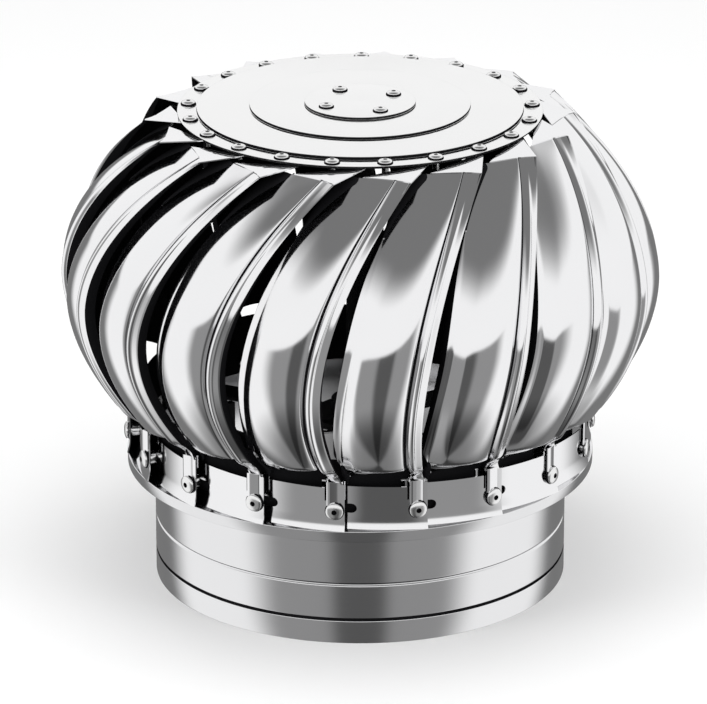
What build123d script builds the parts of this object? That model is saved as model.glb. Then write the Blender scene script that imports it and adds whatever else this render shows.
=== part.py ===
"""Roof turbine ventilator: a bladed, globe-shaped rotor that turns on a fixed throat collar.

Frame: origin at the centre of the collar's bottom rim, +Z up along the spindle, millimetres.
The front of the ventilator faces -Y. Angles round the spindle are counted from the front,
positive to the right (anticlockwise seen from above), in degrees.

The collar, two crossed throat bars and the spindle stand still. The rotor is built from a lower
ring, eighteen curved blades that overlap at their feet, an upper ring and a stepped cap, and it
hangs on two sealed ball bearings: one under the cap and one in a three-armed spider.
"""

import os
from math import cos, degrees, radians, sin, sqrt

from build123d import *

# ---------------------------------------------------------------- driving dimensions
# Throat collar
throat_diameter = 300.0
collar_height = 104.0
collar_sheet = 1.0
bead_heights = (18.0, 45.0)
bead_width = 3.2
bead_depth = 1.0

# Globe that the blades follow, wider than the throat and drawn in again at the crown
equator_overhang = 66.0
equator_height = 228.0
crown_drop = 61.0
crown_height = 345.0
globe_fullness = 1.85

# Blades
blade_count = 18
blade_sheet = 0.8
blade_stations = 9
sweep_height = 200.0
trailing_offset = -82.0
lip_width = 4.0
shoulder_offset = -70.0
crease_offset = -38.9
rib_crest_offset = -35.9
strip_offset = -33.4
leading_offset = -27.7
sweep_rate = 0.0030
shoulder_sweep_rate = 0.0035
skin_depth = 4.0
skin_bulge = 4.0
rib_height = 3.5
rib_foot_height = 0.8
strip_height = 2.0
return_depth = 16.0
crown_tuck = 13.0
crown_flare = 3.0
crown_power = 8

# Blade feet, rolled about a centre beside the spindle so that they overlap like tiles
foot_bottom = 94.0
foot_height = 35.0
foot_overhang = 21.3
foot_stagger = 20.5
foot_leading_angle = -3.7
foot_trailing_angle = -29.6
window_height = 14.0
window_neck_offset = -58.0
window_strip_offset = -24.0

# Foot screws
foot_screw_angle = -6.11
foot_screw_height = 109.0
foot_screw_diameter = 6.0
foot_screw_head = 12.5
foot_screw_head_height = 3.6
foot_slot_angle = -24.3
foot_slot_length = 17.5
foot_slot_height = 7.0
foot_nut_width = 10.0
foot_nut_height = 4.5
foot_bead_width = 9.0
foot_bead_height = 2.2
spacer_diameter = 10.0

# Lower ring of the rotor
lower_ring_sheet = 0.8
lower_ring_lip = 8.0
lower_ring_overhang = 1.2

# Cap
cap_inset = 24.3
cap_rim_top = 351.0
cap_sheet = 1.0
cap_tier_insets = (13.9, 51.7)
cap_tier_heights = (2.4, 2.0)
cap_bore_radius = 24.0
cap_screw_count = 21
cap_screw_phase = 8.1
cap_screw_inset = 7.3
cap_screw_diameter = 4.8
cap_screw_head = 10.0
cap_screw_head_height = 2.8
cap_screw_length = 8.0
upper_ring_width = 14.0
upper_ring_sheet = 1.0
tongue_overlap = 2.0
tongue_width = 11.0
flange_tip_angle = 22.9

# Hub
hub_cover_radius = 39.7
hub_cover_sheet = 1.6
hub_screw_circle = 28.0
hub_screw_count = 4
hub_screw_phase = -59.0
hub_screw_diameter = 5.0
hub_screw_head = 9.8
hub_screw_head_height = 2.6
hub_nut_width = 8.0
hub_nut_height = 4.0

# Sealed ball bearings
bearing_bore = 15.0
bearing_outer = 35.0
bearing_width = 11.0
bearing_inner_shoulder = 21.0
bearing_outer_shoulder = 29.5
bearing_shield = 0.6
shield_gap = 0.4
housing_wall = 3.5
housing_flange = 2.0
housing_flange_radius = 36.0
housing_lip = 2.0
housing_lip_radius = 14.0
circlip_thickness = 1.2
circlip_radial = 3.0
upper_bearing_drop = 9.7

# Rotor spider
spider_arms = 3
spider_angle = 3.89
spider_sheet = 2.5
spider_height = 114.0
spider_arm_width = 22.0
spider_foot = 12.0
spider_hub_radius = 34.0
spider_bore_radius = 13.5
rivet_diameter = 5.0
rivet_head = 9.0
rivet_head_height = 1.6
rivet_circle = 28.0

# Fixed bars and spindle
bar_thickness = 3.0
bar_width = 25.0
bar_height = 58.0
bar_foot = 22.0
bar_angle = 45.0
spindle_end_drop = 16.0
spindle_nut_width = 24.0
spindle_nut_height = 10.0
washer_radius = 17.0
washer_thickness = 2.0
set_collar_radius = 12.0
set_collar_height = 9.0
spacer_tube_wall = 2.5
lock_nut_width = 20.0
lock_nut_height = 5.0
spindle_stub = 2.0

# Clearances
seat_gap = 0.05
hole_gap = 0.3
touch_gap = 0.1

# ---------------------------------------------------------------- derived sizes
pitch = 360.0 / blade_count
collar_radius = throat_diameter / 2
equator_radius = collar_radius + equator_overhang
crown_radius = equator_radius - crown_drop
foot_roll_radius = collar_radius + foot_overhang
cap_radius = crown_radius - cap_inset
cap_screw_circle = cap_radius - cap_screw_inset
tier_1_radius = cap_radius - cap_tier_insets[0]
tier_2_radius = cap_radius - cap_tier_insets[1]
foot_top = foot_bottom + foot_height
blade_seat = foot_top - 1.0
cap_rim_bottom = cap_rim_top - cap_sheet
upper_ring_bottom = cap_rim_bottom - upper_ring_sheet
tier_1_top = cap_rim_top + cap_tier_heights[0]
tier_2_top = tier_1_top + cap_tier_heights[1]
tier_2_bottom = tier_2_top - cap_sheet
hub_cover_top = tier_2_top + hub_cover_sheet
bearing_bore_radius = bearing_bore / 2
bearing_outer_radius = bearing_outer / 2
housing_radius = bearing_outer_radius + housing_wall
spider_top = spider_height + spider_sheet
lower_bearing_bottom = spider_top + touch_gap
lower_bearing_top = lower_bearing_bottom + bearing_width
upper_bearing_top = tier_2_bottom - upper_bearing_drop
upper_bearing_bottom = upper_bearing_top - bearing_width
spindle_radius = bearing_bore_radius - seat_gap
bar_stack_top = bar_height + 2 * bar_thickness
spindle_top = upper_bearing_top + lock_nut_height + spindle_stub
spindle_bottom = bar_height - spindle_end_drop


def polar(radius, angle):
    """Point of the plan at a radius and an angle from the front."""
    return Vector(radius * sin(radians(angle)), -radius * cos(radians(angle)))


def radial_plane(radius, angle, height):
    """Plane that faces outwards, with its x axis along the rotor's circumference."""
    place = polar(radius, angle)
    outwards = polar(1, angle)
    return Plane(origin=(place.X, place.Y, height), x_dir=(-outwards.Y, outwards.X, 0), z_dir=outwards)


def globe_radius(height):
    """Outer radius of the globe at a height."""
    reach = abs(height - equator_height) / (crown_height - equator_height)
    return equator_radius - (equator_radius - crown_radius) * reach**globe_fullness


def globe_slope(height):
    """How much longer the globe's sheet is than its rise, at a height."""
    step = 0.5
    run = globe_radius(height + step) - globe_radius(height - step)
    return sqrt(1 + run**2)


def foot_curve(offset):
    """Distance in front of the spindle of a foot's outer face, at a sideways offset."""
    return sqrt(foot_roll_radius**2 - (offset - foot_stagger) ** 2)


def foot_radius(angle):
    """Radius from the spindle of a foot's outer face, at an angle."""
    sideways = foot_stagger * sin(radians(angle))
    forwards = foot_stagger * cos(radians(angle))
    return sideways + sqrt(foot_roll_radius**2 - forwards**2)


lower_ring_radius = foot_radius(foot_trailing_angle) - blade_sheet - touch_gap
lower_ring_lip_radius = foot_radius(foot_leading_angle) + lower_ring_overhang


def blade_line(height, offset, rate, depth, relief, share):
    """Point of one line along the blade, on the globe less its depth below the globe's surface.

    The share is the line's place across the crown, from 0 at the shoulder to 1 at the leading edge.
    """
    rise = max(0.0, (height - foot_top) / (crown_height - foot_top))
    crown = rise**crown_power
    lean = crown_tuck - (crown_tuck + crown_flare) * share
    inset = depth + lean * crown - relief * (1 - crown)
    sideways = offset + rate * (height - sweep_height) ** 2
    radius = globe_radius(height) - inset
    return Vector(sideways, -sqrt(radius**2 - sideways**2))


def blade_points(height):
    """Outer face of the blade in a level section, from the trailing lip to the leading edge."""
    rise = max(0.0, (height - foot_top) / (crown_height - foot_top))
    fade = 1 - max(0.0, 2 * rise - 1) ** 4
    shoulder = blade_line(height, shoulder_offset, shoulder_sweep_rate, skin_depth, 0, 0)
    lip = blade_line(height, trailing_offset, sweep_rate, skin_depth + return_depth, 0, 0)
    root = blade_line(height, trailing_offset + lip_width, sweep_rate,
                      skin_depth + return_depth - lip_width / 4, 0, 0)
    middle_offset = (shoulder_offset + crease_offset) / 2
    lines = [
        shoulder + (lip - shoulder) * max(fade, 0.08),
        shoulder + (root - shoulder) * max(fade, 0.08),
        shoulder,
        blade_line(height, middle_offset, sweep_rate, skin_depth, skin_bulge, 0.25),
        blade_line(height, crease_offset, sweep_rate, skin_depth, 0, 0.5),
        blade_line(height, rib_crest_offset, sweep_rate, skin_depth, rib_height, 0.6),
        blade_line(height, strip_offset, sweep_rate, skin_depth, strip_height, 0.7),
        blade_line(height, leading_offset, sweep_rate, skin_depth, 0, 1.0),
    ]
    if height <= foot_top:
        rib = [0, 0, 0, 0, 0, rib_foot_height, 0, 0]
        return [Vector(line.X, -foot_curve(line.X) - rise) for line, rise in zip(lines, rib)]
    return lines


def inner_points(points, thickness):
    """Inner face of a sheet whose outer face runs through the given points."""
    inner = []
    for index, here in enumerate(points):
        arriving = (here - points[index - 1]).normalized() if index else None
        leaving = (points[index + 1] - here).normalized() if index < len(points) - 1 else arriving
        arriving = arriving or leaving
        along = (arriving + leaving).normalized()
        depth = thickness / along.dot(arriving)
        inner.append(here + Vector(-along.Y, along.X) * depth)
    return inner


# ---------------------------------------------------------------- blades
crown_points = blade_points(crown_height)
crease_start = Vector(crown_points[2].X, crown_points[2].Y, crown_height)
crease_end = Vector(crown_points[-1].X, crown_points[-1].Y, crown_height)
tip_point = polar(cap_radius, flange_tip_angle)
flange_tip = Vector(tip_point.X, tip_point.Y, upper_ring_bottom)
crease = crease_end - crease_start
reach = flange_tip - crease_start
flange_plane = Plane(origin=crease_start, x_dir=crease, z_dir=crease.cross(reach))
tip_local = flange_plane.to_local_coords(flange_tip)

with BuildPart() as blade_form:
    # Curved body: level sections of the rolled sheet, from the foot to the crown
    for station in range(blade_stations):
        share = station / (blade_stations - 1)
        height = blade_seat + (crown_height - blade_seat) * share
        outer = blade_points(height)
        inner = inner_points(outer, blade_sheet * globe_slope(height))
        with BuildSketch(Plane.XY.offset(height)):
            with BuildLine():
                Line(outer[0], outer[1])
                Line(outer[1], outer[2])
                ThreePointArc(outer[2], outer[3], outer[4])
                ThreePointArc(outer[4], outer[5], outer[6])
                Line(outer[6], outer[7])
                Line(outer[7], inner[7])
                Line(inner[7], inner[6])
                ThreePointArc(inner[6], inner[5], inner[4])
                ThreePointArc(inner[4], inner[3], inner[2])
                Line(inner[2], inner[1])
                Line(inner[1], inner[0])
                Line(inner[0], outer[0])
            make_face()
    loft()

    # Lens-shaped window between the body and the foot
    with BuildSketch(Plane.XZ.offset(collar_radius - foot_stagger)):
        with BuildLine():
            middle = (window_neck_offset + window_strip_offset) / 2
            side_height = foot_top + window_height * 0.7
            Line((window_neck_offset, foot_top), (window_strip_offset, foot_top))
            Line((window_strip_offset, foot_top), (window_strip_offset - 5, side_height))
            ThreePointArc((window_strip_offset - 5, side_height), (middle, foot_top + window_height),
                          (window_neck_offset + 3, side_height))
            Line((window_neck_offset + 3, side_height), (window_neck_offset, foot_top))
        make_face()
    extrude(amount=equator_radius, mode=Mode.SUBTRACT)

    # Foot plate
    foot_ends = [polar(foot_radius(angle), angle) for angle in (foot_trailing_angle, foot_leading_angle)]
    foot_middle_offset = (foot_ends[0].X + foot_ends[1].X) / 2
    foot_face = [foot_ends[0], Vector(foot_middle_offset, -foot_curve(foot_middle_offset)), foot_ends[1]]
    foot_back = inner_points(foot_face, blade_sheet)
    with BuildSketch(Plane.XY.offset(foot_bottom)):
        with BuildLine():
            ThreePointArc(*foot_face)
            Line(foot_face[2], foot_back[2])
            ThreePointArc(*reversed(foot_back))
            Line(foot_back[0], foot_face[0])
        make_face()
    extrude(amount=foot_height)

    # Bead that carries the leading strip down to the screw
    bead_place = radial_plane(foot_radius(foot_screw_angle) - blade_sheet / 2, foot_screw_angle, foot_top)
    bead_length = foot_top - foot_screw_height - foot_screw_head / 2 + 1
    with BuildSketch(Plane(origin=bead_place.origin, x_dir=bead_place.x_dir, z_dir=(0, 0, -1))):
        with Locations((0, 0)):
            Ellipse(foot_bead_width / 2, foot_bead_height + blade_sheet / 2)
        with Locations((0, foot_bead_width / 2)):
            Rectangle(2 * foot_bead_width, foot_bead_width, mode=Mode.SUBTRACT)
    extrude(amount=bead_length)

    # Screw hole at the leading end, slot at the trailing end
    hole_base = foot_radius(foot_screw_angle) - 3 * blade_sheet
    with BuildSketch(radial_plane(hole_base, foot_screw_angle, foot_screw_height)):
        Circle(foot_screw_diameter / 2 + hole_gap)
    extrude(amount=6 * blade_sheet, mode=Mode.SUBTRACT)
    slot_base = foot_radius(foot_slot_angle) - 4 * blade_sheet
    with BuildSketch(radial_plane(slot_base, foot_slot_angle, foot_screw_height)):
        SlotOverall(foot_slot_length, foot_slot_height)
    extrude(amount=8 * blade_sheet, mode=Mode.SUBTRACT)

    # Crown flange, turned in towards the cap, and the tongue under the upper ring
    with BuildSketch(flange_plane):
        with BuildLine():
            Polyline((0, 0), (crease.length, 0), (tip_local.X, tip_local.Y), close=True)
        make_face()
    extrude(amount=-blade_sheet)
    tongue_place = polar(cap_radius, flange_tip_angle)
    inwards = polar(-1, flange_tip_angle)
    tongue_end = cap_screw_circle + cap_screw_diameter / 2 + hole_gap
    tongue_length = cap_radius + tongue_overlap - tongue_end
    with BuildSketch(Plane(origin=(tongue_place.X, tongue_place.Y, upper_ring_bottom),
                           x_dir=(inwards.X, inwards.Y, 0), z_dir=(0, 0, -1))):
        with Locations((tongue_length / 2 - tongue_overlap, 0)):
            RectangleRounded(tongue_length, tongue_width, tongue_length / 4)
    extrude(amount=blade_sheet)

os.makedirs("parts", exist_ok=True)

for number in range(blade_count):
    with BuildPart() as blade:
        add(blade_form.part.rotate(Axis.Z, number * pitch))
    blade.part.label = f"blade_{number + 1:02d}"
    export_step(blade.part, f"parts/blade_{number + 1:02d}.step")

# ---------------------------------------------------------------- lower ring
with BuildPart() as lower_ring:
    wall_inside = lower_ring_radius - lower_ring_sheet
    lip_inside = lower_ring_lip_radius - lower_ring_sheet
    shelf_top = foot_bottom - touch_gap
    shelf_bottom = shelf_top - lower_ring_sheet
    lip_bottom = shelf_top - lower_ring_lip
    with BuildSketch(Plane.XZ):
        with BuildLine():
            Polyline(
                (wall_inside, foot_top),
                (lower_ring_radius, foot_top),
                (lower_ring_radius, shelf_top),
                (lower_ring_lip_radius, shelf_top),
                (lower_ring_lip_radius, lip_bottom),
                (lip_inside, lip_bottom),
                (lip_inside, shelf_bottom),
                (wall_inside, shelf_bottom),
                close=True,
            )
        make_face()
    revolve(axis=Axis.Z)
    for number in range(blade_count):
        with BuildSketch(radial_plane(wall_inside - 1, foot_screw_angle + number * pitch, foot_screw_height)):
            Circle(foot_screw_diameter / 2 + hole_gap)
        extrude(amount=lower_ring_sheet + 2, mode=Mode.SUBTRACT)
lower_ring.part.label = "lower_ring"
export_step(lower_ring.part, "parts/lower_ring.step")

# ---------------------------------------------------------------- foot screws, spacers and nuts
head_lean = degrees(foot_screw_head / 2 / foot_radius(foot_screw_angle))
spacer_lean = degrees(spacer_diameter / 2 / foot_radius(foot_screw_angle))
screw_seat = foot_radius(foot_screw_angle + head_lean) + seat_gap
slot_face = foot_radius(foot_screw_angle - pitch + spacer_lean) + seat_gap
plate_back = foot_radius(foot_screw_angle - spacer_lean) - blade_sheet - seat_gap
nut_seat = wall_inside - foot_nut_height - hole_gap
screw_end = nut_seat - 0.5

with BuildPart() as foot_screws:
    for number in range(blade_count):
        angle = foot_screw_angle + number * pitch
        with BuildSketch(radial_plane(screw_end, angle, foot_screw_height)):
            Circle(foot_screw_diameter / 2)
        extrude(amount=screw_seat - screw_end)
        with BuildSketch(radial_plane(screw_seat, angle, foot_screw_height)):
            Circle(foot_screw_head / 2)
        extrude(amount=foot_screw_head_height, taper=32)
foot_screws.part.label = "foot_screws"
export_step(foot_screws.part, "parts/foot_screws.step")

with BuildPart() as foot_spacers:
    for number in range(blade_count):
        angle = foot_screw_angle + number * pitch
        with BuildSketch(radial_plane(slot_face, angle, foot_screw_height)):
            Circle(spacer_diameter / 2)
            Circle(foot_screw_diameter / 2 + seat_gap, mode=Mode.SUBTRACT)
        extrude(amount=plate_back - slot_face)
foot_spacers.part.label = "foot_spacers"
export_step(foot_spacers.part, "parts/foot_spacers.step")

with BuildPart() as foot_nuts:
    for number in range(blade_count):
        angle = foot_screw_angle + number * pitch
        with BuildSketch(radial_plane(nut_seat, angle, foot_screw_height)):
            RegularPolygon(foot_nut_width / 2, 6, major_radius=False)
            Circle(foot_screw_diameter / 2 + seat_gap, mode=Mode.SUBTRACT)
        extrude(amount=foot_nut_height)
foot_nuts.part.label = "foot_nuts"
export_step(foot_nuts.part, "parts/foot_nuts.step")

# ---------------------------------------------------------------- upper ring and cap
cap_screw_angles = [cap_screw_phase + number * 360 / cap_screw_count for number in range(cap_screw_count)]
hub_screw_angles = [hub_screw_phase + number * 360 / hub_screw_count for number in range(hub_screw_count)]

with BuildPart() as upper_ring:
    ring_outside = cap_radius - 1
    with BuildSketch(Plane.XY.offset(upper_ring_bottom)):
        Circle(ring_outside)
        Circle(ring_outside - upper_ring_width, mode=Mode.SUBTRACT)
        for angle in cap_screw_angles:
            place = polar(cap_screw_circle, angle)
            with Locations((place.X, place.Y)):
                Circle(cap_screw_diameter / 2 + seat_gap, mode=Mode.SUBTRACT)
    extrude(amount=upper_ring_sheet - seat_gap)
upper_ring.part.label = "upper_ring"
export_step(upper_ring.part, "parts/upper_ring.step")

with BuildPart() as top_cap:
    with BuildSketch(Plane.XZ):
        with BuildLine():
            Polyline(
                (cap_bore_radius, tier_2_top),
                (tier_2_radius, tier_2_top),
                (tier_2_radius, tier_1_top),
                (tier_1_radius, tier_1_top),
                (tier_1_radius, cap_rim_top),
                (cap_radius, cap_rim_top),
                (cap_radius, cap_rim_bottom),
                (tier_1_radius - cap_sheet, cap_rim_bottom),
                (tier_1_radius - cap_sheet, tier_1_top - cap_sheet),
                (tier_2_radius - cap_sheet, tier_1_top - cap_sheet),
                (tier_2_radius - cap_sheet, tier_2_bottom),
                (cap_bore_radius, tier_2_bottom),
                close=True,
            )
        make_face()
    revolve(axis=Axis.Z)
    with BuildSketch(Plane.XY.offset(cap_rim_bottom - 1)):
        for angle in cap_screw_angles:
            place = polar(cap_screw_circle, angle)
            with Locations((place.X, place.Y)):
                Circle(cap_screw_diameter / 2 + seat_gap)
        for angle in hub_screw_angles:
            place = polar(hub_screw_circle, angle)
            with Locations((place.X, place.Y)):
                Circle(hub_screw_diameter / 2 + seat_gap)
    extrude(until=Until.LAST, mode=Mode.SUBTRACT)
top_cap.part.label = "top_cap"
export_step(top_cap.part, "parts/top_cap.step")

with BuildPart() as cap_screws:
    for angle in cap_screw_angles:
        place = polar(cap_screw_circle, angle)
        with BuildSketch(Plane.XY.offset(cap_rim_top + seat_gap)):
            with Locations((place.X, place.Y)):
                Circle(cap_screw_head / 2)
        extrude(amount=cap_screw_head_height, taper=25)
        with BuildSketch(Plane.XY.offset(cap_rim_top + seat_gap)):
            with Locations((place.X, place.Y)):
                Circle(cap_screw_diameter / 2)
        extrude(amount=-cap_screw_length)
cap_screws.part.label = "cap_screws"
export_step(cap_screws.part, "parts/cap_screws.step")

# ---------------------------------------------------------------- hub
with BuildPart() as hub_cover:
    with BuildSketch(Plane.XY.offset(tier_2_top + seat_gap)):
        Circle(hub_cover_radius)
        for angle in hub_screw_angles:
            place = polar(hub_screw_circle, angle)
            with Locations((place.X, place.Y)):
                Circle(hub_screw_diameter / 2 + seat_gap, mode=Mode.SUBTRACT)
    extrude(amount=hub_cover_sheet - seat_gap)
hub_cover.part.label = "hub_cover"
export_step(hub_cover.part, "parts/hub_cover.step")

with BuildPart() as upper_bearing_housing:
    seat = upper_bearing_bottom - seat_gap
    lip = seat - housing_lip
    flange_top = tier_2_bottom - seat_gap
    flange_bottom = flange_top - housing_flange
    with BuildSketch(Plane.XZ):
        with BuildLine():
            Polyline(
                (housing_lip_radius, lip),
                (housing_radius, lip),
                (housing_radius, flange_bottom),
                (housing_flange_radius, flange_bottom),
                (housing_flange_radius, flange_top),
                (bearing_outer_radius + seat_gap, flange_top),
                (bearing_outer_radius + seat_gap, seat),
                (housing_lip_radius, seat),
                close=True,
            )
        make_face()
    revolve(axis=Axis.Z)
    with BuildSketch(Plane.XY.offset(flange_bottom - 1)):
        for angle in hub_screw_angles:
            place = polar(hub_screw_circle, angle)
            with Locations((place.X, place.Y)):
                Circle(hub_screw_diameter / 2 + seat_gap)
    extrude(amount=housing_flange + 2, mode=Mode.SUBTRACT)
upper_bearing_housing.part.label = "upper_bearing_housing"
export_step(upper_bearing_housing.part, "parts/upper_bearing_housing.step")

hub_nut_top = flange_bottom - seat_gap
with BuildPart() as hub_screws:
    for angle in hub_screw_angles:
        place = polar(hub_screw_circle, angle)
        with BuildSketch(Plane.XY.offset(hub_cover_top + seat_gap)):
            with Locations((place.X, place.Y)):
                Circle(hub_screw_head / 2)
        extrude(amount=hub_screw_head_height, taper=25)
        with BuildSketch(Plane.XY.offset(hub_cover_top + seat_gap)):
            with Locations((place.X, place.Y)):
                Circle(hub_screw_diameter / 2)
        extrude(amount=-(hub_cover_top - hub_nut_top + hub_nut_height + 1))
hub_screws.part.label = "hub_screws"
export_step(hub_screws.part, "parts/hub_screws.step")

with BuildPart() as hub_nuts:
    for angle in hub_screw_angles:
        place = polar(hub_screw_circle, angle)
        with BuildSketch(Plane.XY.offset(hub_nut_top)):
            with Locations((place.X, place.Y)):
                RegularPolygon(hub_nut_width / 2, 6, major_radius=False, rotation=angle)
                Circle(hub_screw_diameter / 2 + seat_gap, mode=Mode.SUBTRACT)
        extrude(amount=-hub_nut_height)
hub_nuts.part.label = "hub_nuts"
export_step(hub_nuts.part, "parts/hub_nuts.step")

# ---------------------------------------------------------------- bearings
for name, bottom in (("lower", lower_bearing_bottom), ("upper", upper_bearing_bottom)):
    with BuildPart() as inner_race:
        with BuildSketch(Plane.XY.offset(bottom)):
            Circle(bearing_inner_shoulder / 2)
            Circle(bearing_bore_radius, mode=Mode.SUBTRACT)
        extrude(amount=bearing_width)
    inner_race.part.label = f"{name}_bearing_inner"
    export_step(inner_race.part, f"parts/{name}_bearing_inner.step")

    # Outer race with both shields, which close the gap over the balls
    with BuildPart() as outer_race:
        shield_radius = bearing_inner_shoulder / 2 + shield_gap
        with BuildSketch(Plane.XZ):
            with BuildLine():
                Polyline(
                    (bearing_outer_radius, bottom),
                    (bearing_outer_radius, bottom + bearing_width),
                    (shield_radius, bottom + bearing_width),
                    (shield_radius, bottom + bearing_width - bearing_shield),
                    (bearing_outer_shoulder / 2, bottom + bearing_width - bearing_shield),
                    (bearing_outer_shoulder / 2, bottom + bearing_shield),
                    (shield_radius, bottom + bearing_shield),
                    (shield_radius, bottom),
                    close=True,
                )
            make_face()
        revolve(axis=Axis.Z)
    outer_race.part.label = f"{name}_bearing_outer"
    export_step(outer_race.part, f"parts/{name}_bearing_outer.step")

with BuildPart() as upper_bearing_circlip:
    with BuildSketch(Plane.XY.offset(upper_bearing_top + seat_gap)):
        Circle(bearing_outer_radius)
        Circle(bearing_outer_radius - circlip_radial, mode=Mode.SUBTRACT)
        with Locations((0, bearing_outer_radius)):
            Rectangle(2 * circlip_radial, 4 * circlip_radial, mode=Mode.SUBTRACT)
    extrude(amount=circlip_thickness)
upper_bearing_circlip.part.label = "upper_bearing_circlip"
export_step(upper_bearing_circlip.part, "parts/upper_bearing_circlip.step")

# ---------------------------------------------------------------- rotor spider with the lower bearing
rivet_angles = [spider_angle + (number + 0.5) * 360 / spider_arms for number in range(spider_arms)]
arm_reach = sqrt(wall_inside**2 - (spider_arm_width / 2) ** 2) - seat_gap

with BuildPart() as rotor_spider:
    with BuildSketch(Plane.XY.offset(spider_height)):
        Circle(spider_hub_radius)
    extrude(amount=spider_sheet)
    for number in range(spider_arms):
        angle = spider_angle + number * 360 / spider_arms
        outwards = polar(1, angle)
        arm_plane = Plane(origin=(0, 0, 0), x_dir=(outwards.X, outwards.Y, 0), z_dir=(outwards.Y, -outwards.X, 0))
        with BuildSketch(arm_plane.offset(-spider_arm_width / 2)):
            with BuildLine():
                Polyline(
                    (0, spider_height),
                    (arm_reach - spider_sheet, spider_height),
                    (arm_reach - spider_sheet, spider_height - spider_foot),
                    (arm_reach, spider_height - spider_foot),
                    (arm_reach, spider_top),
                    (0, spider_top),
                    close=True,
                )
            make_face()
        extrude(amount=spider_arm_width)
    with BuildSketch(Plane.XY.offset(spider_height - 1)):
        Circle(spider_bore_radius)
        for angle in rivet_angles:
            place = polar(rivet_circle, angle)
            with Locations((place.X, place.Y)):
                Circle(rivet_diameter / 2 + seat_gap)
    extrude(amount=spider_sheet + 2, mode=Mode.SUBTRACT)
rotor_spider.part.label = "rotor_spider"
export_step(rotor_spider.part, "parts/rotor_spider.step")

with BuildPart() as lower_bearing_housing:
    flange_bottom = spider_top + seat_gap
    flange_top = flange_bottom + housing_flange
    seat = lower_bearing_top + seat_gap
    lip = seat + housing_lip
    with BuildSketch(Plane.XZ):
        with BuildLine():
            Polyline(
                (bearing_outer_radius + seat_gap, flange_bottom),
                (spider_hub_radius, flange_bottom),
                (spider_hub_radius, flange_top),
                (housing_radius, flange_top),
                (housing_radius, lip),
                (housing_lip_radius, lip),
                (housing_lip_radius, seat),
                (bearing_outer_radius + seat_gap, seat),
                close=True,
            )
        make_face()
    revolve(axis=Axis.Z)
    with BuildSketch(Plane.XY.offset(flange_bottom - 1)):
        for angle in rivet_angles:
            place = polar(rivet_circle, angle)
            with Locations((place.X, place.Y)):
                Circle(rivet_diameter / 2 + seat_gap)
    extrude(amount=housing_flange + 2, mode=Mode.SUBTRACT)
lower_bearing_housing.part.label = "lower_bearing_housing"
export_step(lower_bearing_housing.part, "parts/lower_bearing_housing.step")

with BuildPart() as housing_rivets:
    for angle in rivet_angles:
        place = polar(rivet_circle, angle)
        for height, width, length in (
            (spider_height - seat_gap, rivet_head, -rivet_head_height),
            (spider_height - seat_gap, rivet_diameter, flange_top - spider_height + 2 * seat_gap),
            (flange_top + seat_gap, rivet_head, rivet_head_height),
        ):
            with BuildSketch(Plane.XY.offset(height)):
                with Locations((place.X, place.Y)):
                    Circle(width / 2)
            extrude(amount=length)
housing_rivets.part.label = "housing_rivets"
export_step(housing_rivets.part, "parts/housing_rivets.step")

# ---------------------------------------------------------------- fixed collar
with BuildPart() as base_collar:
    with BuildSketch(Plane.XZ):
        with BuildLine():
            outline = [(collar_radius, 0)]
            for height in bead_heights:
                outline += [
                    (collar_radius, height - bead_width / 2),
                    (collar_radius - bead_depth, height),
                    (collar_radius, height + bead_width / 2),
                ]
            inside = collar_radius - collar_sheet
            outline += [(collar_radius, collar_height), (inside, collar_height)]
            for height in reversed(bead_heights):
                outline += [
                    (inside, height + bead_width / 2),
                    (inside - bead_depth, height),
                    (inside, height - bead_width / 2),
                ]
            outline += [(inside, 0)]
            Polyline(*outline, close=True)
        make_face()
    revolve(axis=Axis.Z)
base_collar.part.label = "base_collar"
export_step(base_collar.part, "parts/base_collar.step")

# ---------------------------------------------------------------- throat bars, crossed under the spindle
bar_reach = sqrt((collar_radius - collar_sheet) ** 2 - (bar_width / 2) ** 2) - seat_gap

for name, bottom, turn in (("lower", bar_height, bar_angle), ("upper", bar_height + bar_thickness, bar_angle + 90)):
    along = polar(1, turn)
    bar_plane = Plane(origin=(0, 0, 0), x_dir=(along.X, along.Y, 0), z_dir=(along.Y, -along.X, 0))
    with BuildPart() as throat_bar:
        with BuildSketch(bar_plane.offset(-bar_width / 2)):
            with BuildLine():
                foot_end = bottom + bar_thickness + bar_foot
                Polyline(
                    (-bar_reach, bottom),
                    (bar_reach, bottom),
                    (bar_reach, foot_end),
                    (bar_reach - bar_thickness, foot_end),
                    (bar_reach - bar_thickness, bottom + bar_thickness),
                    (bar_thickness - bar_reach, bottom + bar_thickness),
                    (bar_thickness - bar_reach, foot_end),
                    (-bar_reach, foot_end),
                    close=True,
                )
            make_face()
        extrude(amount=bar_width)
        with BuildSketch(Plane.XY.offset(bottom - 1)):
            Circle(bearing_bore_radius + hole_gap)
        extrude(amount=bar_thickness + 2, mode=Mode.SUBTRACT)
    throat_bar.part.label = f"{name}_throat_bar"
    export_step(throat_bar.part, f"parts/{name}_throat_bar.step")

# ---------------------------------------------------------------- spindle and what is stacked on it
with BuildPart() as spindle:
    with BuildSketch(Plane.XY.offset(spindle_bottom)):
        Circle(spindle_radius)
    extrude(amount=spindle_top - spindle_bottom)
    chamfer(spindle.edges().filter_by(GeomType.CIRCLE), length=1)
spindle.part.label = "spindle"
export_step(spindle.part, "parts/spindle.step")

washer_places = (bar_height - washer_thickness - seat_gap, bar_stack_top + seat_gap)
with BuildPart() as spindle_washers:
    for height in washer_places:
        with BuildSketch(Plane.XY.offset(height)):
            Circle(washer_radius)
            Circle(bearing_bore_radius, mode=Mode.SUBTRACT)
        extrude(amount=washer_thickness)
spindle_washers.part.label = "spindle_washers"
export_step(spindle_washers.part, "parts/spindle_washers.step")

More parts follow.
